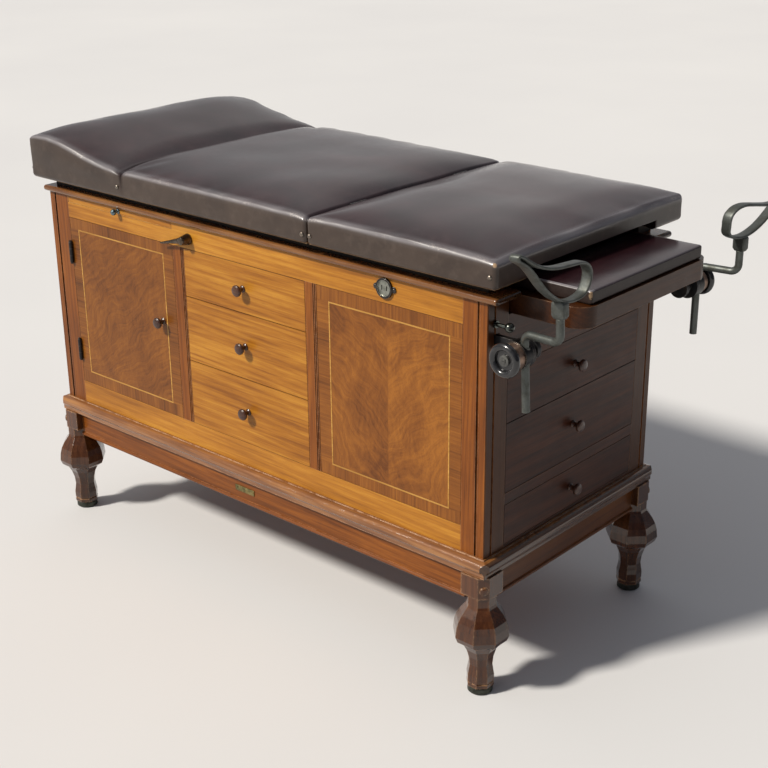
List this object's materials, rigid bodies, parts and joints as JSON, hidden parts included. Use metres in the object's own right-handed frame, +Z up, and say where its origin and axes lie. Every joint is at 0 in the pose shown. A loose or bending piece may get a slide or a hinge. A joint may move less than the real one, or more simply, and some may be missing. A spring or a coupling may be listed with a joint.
{
  "type": "medical exam table",
  "caption": "Panelled wooden examination table: cushioned top with raising back, sliding leg rest, drawers, cupboard and pull-out slide, heel stirrups, octagonal turned legs.",
  "frame": {"origin": "on the floor under the middle of the whole object as it stands in the rest pose, stirrups included", "axes": "+X towards the foot end with the leg rest, +Y towards the back side, +Z up; the door and drawers face -Y"},
  "size_m": [1.4294, 0.8228, 0.9],
  "materials": {
    "redwood": "dark reddish varnished walnut",
    "ferrule_iron": "oxidised",
    "walnut": "varnished",
    "honey_walnut": "varnished",
    "figured_walnut": "varnished figured veneer",
    "pale_string": "varnished",
    "inner_wood": "unfinished",
    "dark_deck": "stained nearly black",
    "brass": "tarnished",
    "grey_steel": "dull, worn nickel",
    "black_iron": "black, gloss worn",
    "leather": "glossy oxblood brown",
    "knob_wood": "turned, varnished"
  },
  "bodies": {
    "cabinet": {"leg_front_head": "redwood", "leg_front_foot": "redwood", "leg_back_head": "redwood", "leg_back_foot": "redwood", "ferrules": "ferrule_iron", "apron": "redwood", "base_moulding": "redwood", "posts": "walnut", "rails": "honey_walnut", "front_panel": "figured_walnut", "panel_string_inlay": "pale_string", "carcass_panels": "walnut", "dividers": "inner_wood", "slide_guides": "inner_wood", "crown_moulding": "redwood", "deck": "dark_deck", "blank_plate": "brass", "outlet": "grey_steel", "door_hinge_fixed": "black_iron", "seat_base": "inner_wood", "seat_cushion": "leather", "seat_hinge": "grey_steel"},
    "door": {"door": "figured_walnut", "door_string_inlay": "pale_string", "door_knob": "knob_wood", "door_hinge_leaf": "black_iron"},
    "pull_out_slide": {"slide_board": "honey_walnut", "slide_knob": "grey_steel"},
    "lever": {"lever": "black_iron"},
    "back_section": {"back_base": "inner_wood", "back_cushion": "leather", "back_ironwork": "grey_steel"},
    "leg_rest": {"leg_rest_frame": "honey_walnut", "leg_rest_pad": "leather"},
    "drawer_top": {"drawer_top": "honey_walnut", "knob_top": "knob_wood"},
    "end_drawer_top": {"end_drawer_top": "walnut", "end_knob_top": "knob_wood"},
    "drawer_middle": {"drawer_middle": "honey_walnut", "knob_middle": "knob_wood"},
    "end_drawer_middle": {"end_drawer_middle": "walnut", "end_knob_middle": "knob_wood"},
    "drawer_bottom": {"drawer_bottom": "honey_walnut", "knob_bottom": "knob_wood"},
    "end_drawer_bottom": {"end_drawer_bottom": "walnut", "end_knob_bottom": "knob_wood"},
    "arm_front": {"arm_front": "black_iron"},
    "clamp_front": {"clamp_front": "grey_steel"},
    "wheel_front": {"wheel_front": "black_iron"},
    "bush_front": {"bush_front": "grey_steel"},
    "rod_front": {"rod_front": "grey_steel"},
    "loop_front": {"loop_front": "grey_steel"},
    "plunger_front": {"plunger_front": "black_iron"},
    "arm_back": {"arm_back": "black_iron"},
    "clamp_back": {"clamp_back": "grey_steel"},
    "wheel_back": {"wheel_back": "black_iron"},
    "bush_back": {"bush_back": "grey_steel"},
    "rod_back": {"rod_back": "grey_steel"},
    "loop_back": {"loop_back": "grey_steel"},
    "plunger_back": {"plunger_back": "black_iron"}
  },
  "joints": [
    {"name": "door_swing", "type": "hinge", "parent": "cabinet", "child": "door", "pos_m": [-0.61415, -0.27943, 0.52], "axis": [0, 0, -1], "range_deg": [0, 110]},
    {"name": "drawer_top_slide", "type": "slide", "parent": "cabinet", "child": "drawer_top", "axis": [0, -1, 0], "range_m": [0, 0.3]},
    {"name": "drawer_middle_slide", "type": "slide", "parent": "cabinet", "child": "drawer_middle", "axis": [0, -1, 0], "range_m": [0, 0.3]},
    {"name": "drawer_bottom_slide", "type": "slide", "parent": "cabinet", "child": "drawer_bottom", "axis": [0, -1, 0], "range_m": [0, 0.3]},
    {"name": "end_drawer_top_slide", "type": "slide", "parent": "cabinet", "child": "end_drawer_top", "axis": [1, 0, 0], "range_m": [0, 0.3]},
    {"name": "end_drawer_middle_slide", "type": "slide", "parent": "cabinet", "child": "end_drawer_middle", "axis": [1, 0, 0], "range_m": [0, 0.3]},
    {"name": "end_drawer_bottom_slide", "type": "slide", "parent": "cabinet", "child": "end_drawer_bottom", "axis": [1, 0, 0], "range_m": [0, 0.3]},
    {"name": "slide_board_pull", "type": "slide", "parent": "cabinet", "child": "pull_out_slide", "axis": [0, -1, 0], "range_m": [0, 0.28]},
    {"name": "lever_turn", "type": "hinge", "parent": "cabinet", "child": "lever", "pos_m": [-0.22565, -0.28793, 0.73], "axis": [0, -1, 0], "range_deg": [-28, 0]},
    {"name": "back_raise", "type": "hinge", "parent": "cabinet", "child": "back_section", "pos_m": [0.12935, -0.01243, 0.838], "axis": [0, 1, 0], "range_deg": [0, 60]},
    {"name": "leg_rest_slide", "type": "slide", "parent": "cabinet", "child": "leg_rest", "axis": [1, 0, 0], "range_m": [-0.11, 0.28]},
    {"name": "arm_slide_front", "type": "slide", "parent": "cabinet", "child": "arm_front", "axis": [1, 0, 0], "range_m": [-0.03, 0.1]},
    {"name": "clamp_tilt_front", "type": "hinge", "parent": "arm_front", "child": "clamp_front", "pos_m": [0.59235, -0.27493, 0.687], "axis": [0, 1, 0], "range_deg": [-12, 45]},
    {"name": "wheel_turn_front", "type": "hinge", "parent": "clamp_front", "child": "wheel_front", "pos_m": [0.59235, -0.32143, 0.687], "axis": [0, -1, 0], "continuous": true},
    {"name": "bush_swivel_front", "type": "hinge", "parent": "clamp_front", "child": "bush_front", "pos_m": [0.60583, -0.28443, 0.68771], "axis": [0.0523, 0, -0.9986], "range_deg": [-10, 90]},
    {"name": "rod_lift_front", "type": "slide", "parent": "bush_front", "child": "rod_front", "axis": [-0.0523, 0, 0.9986], "range_m": [0, 0.06]},
    {"name": "loop_swivel_front", "type": "hinge", "parent": "rod_front", "child": "loop_front", "pos_m": [0.67839, -0.29533, 0.78464], "axis": [-0.0523, 0, 0.9986], "range_deg": [-20, 90]},
    {"name": "plunger_pull_front", "type": "slide", "parent": "cabinet", "child": "plunger_front", "axis": [1, 0, 0], "range_m": [0, 0.012], "stiffness_N_per_m": 250},
    {"name": "arm_slide_back", "type": "slide", "parent": "cabinet", "child": "arm_back", "axis": [1, 0, 0], "range_m": [-0.03, 0.1]},
    {"name": "clamp_tilt_back", "type": "hinge", "parent": "arm_back", "child": "clamp_back", "pos_m": [0.59235, 0.25007, 0.675], "axis": [0, 1, 0], "range_deg": [-12, 45]},
    {"name": "wheel_turn_back", "type": "hinge", "parent": "clamp_back", "child": "wheel_back", "pos_m": [0.59235, 0.29657, 0.675], "axis": [0, 1, 0], "continuous": true},
    {"name": "bush_swivel_back", "type": "hinge", "parent": "clamp_back", "child": "bush_back", "pos_m": [0.60585, 0.25957, 0.675], "axis": [0, 0, 1], "range_deg": [-10, 90]},
    {"name": "rod_lift_back", "type": "slide", "parent": "bush_back", "child": "rod_back", "axis": [0, 0, 1], "range_m": [0, 0.06]},
    {"name": "loop_swivel_back", "type": "hinge", "parent": "rod_back", "child": "loop_back", "pos_m": [0.68339, 0.27047, 0.768], "axis": [0, 0, -1], "range_deg": [-27, 83]},
    {"name": "plunger_pull_back", "type": "slide", "parent": "cabinet", "child": "plunger_back", "axis": [1, 0, 0], "range_m": [0, 0.012], "stiffness_N_per_m": 250}
  ]
}
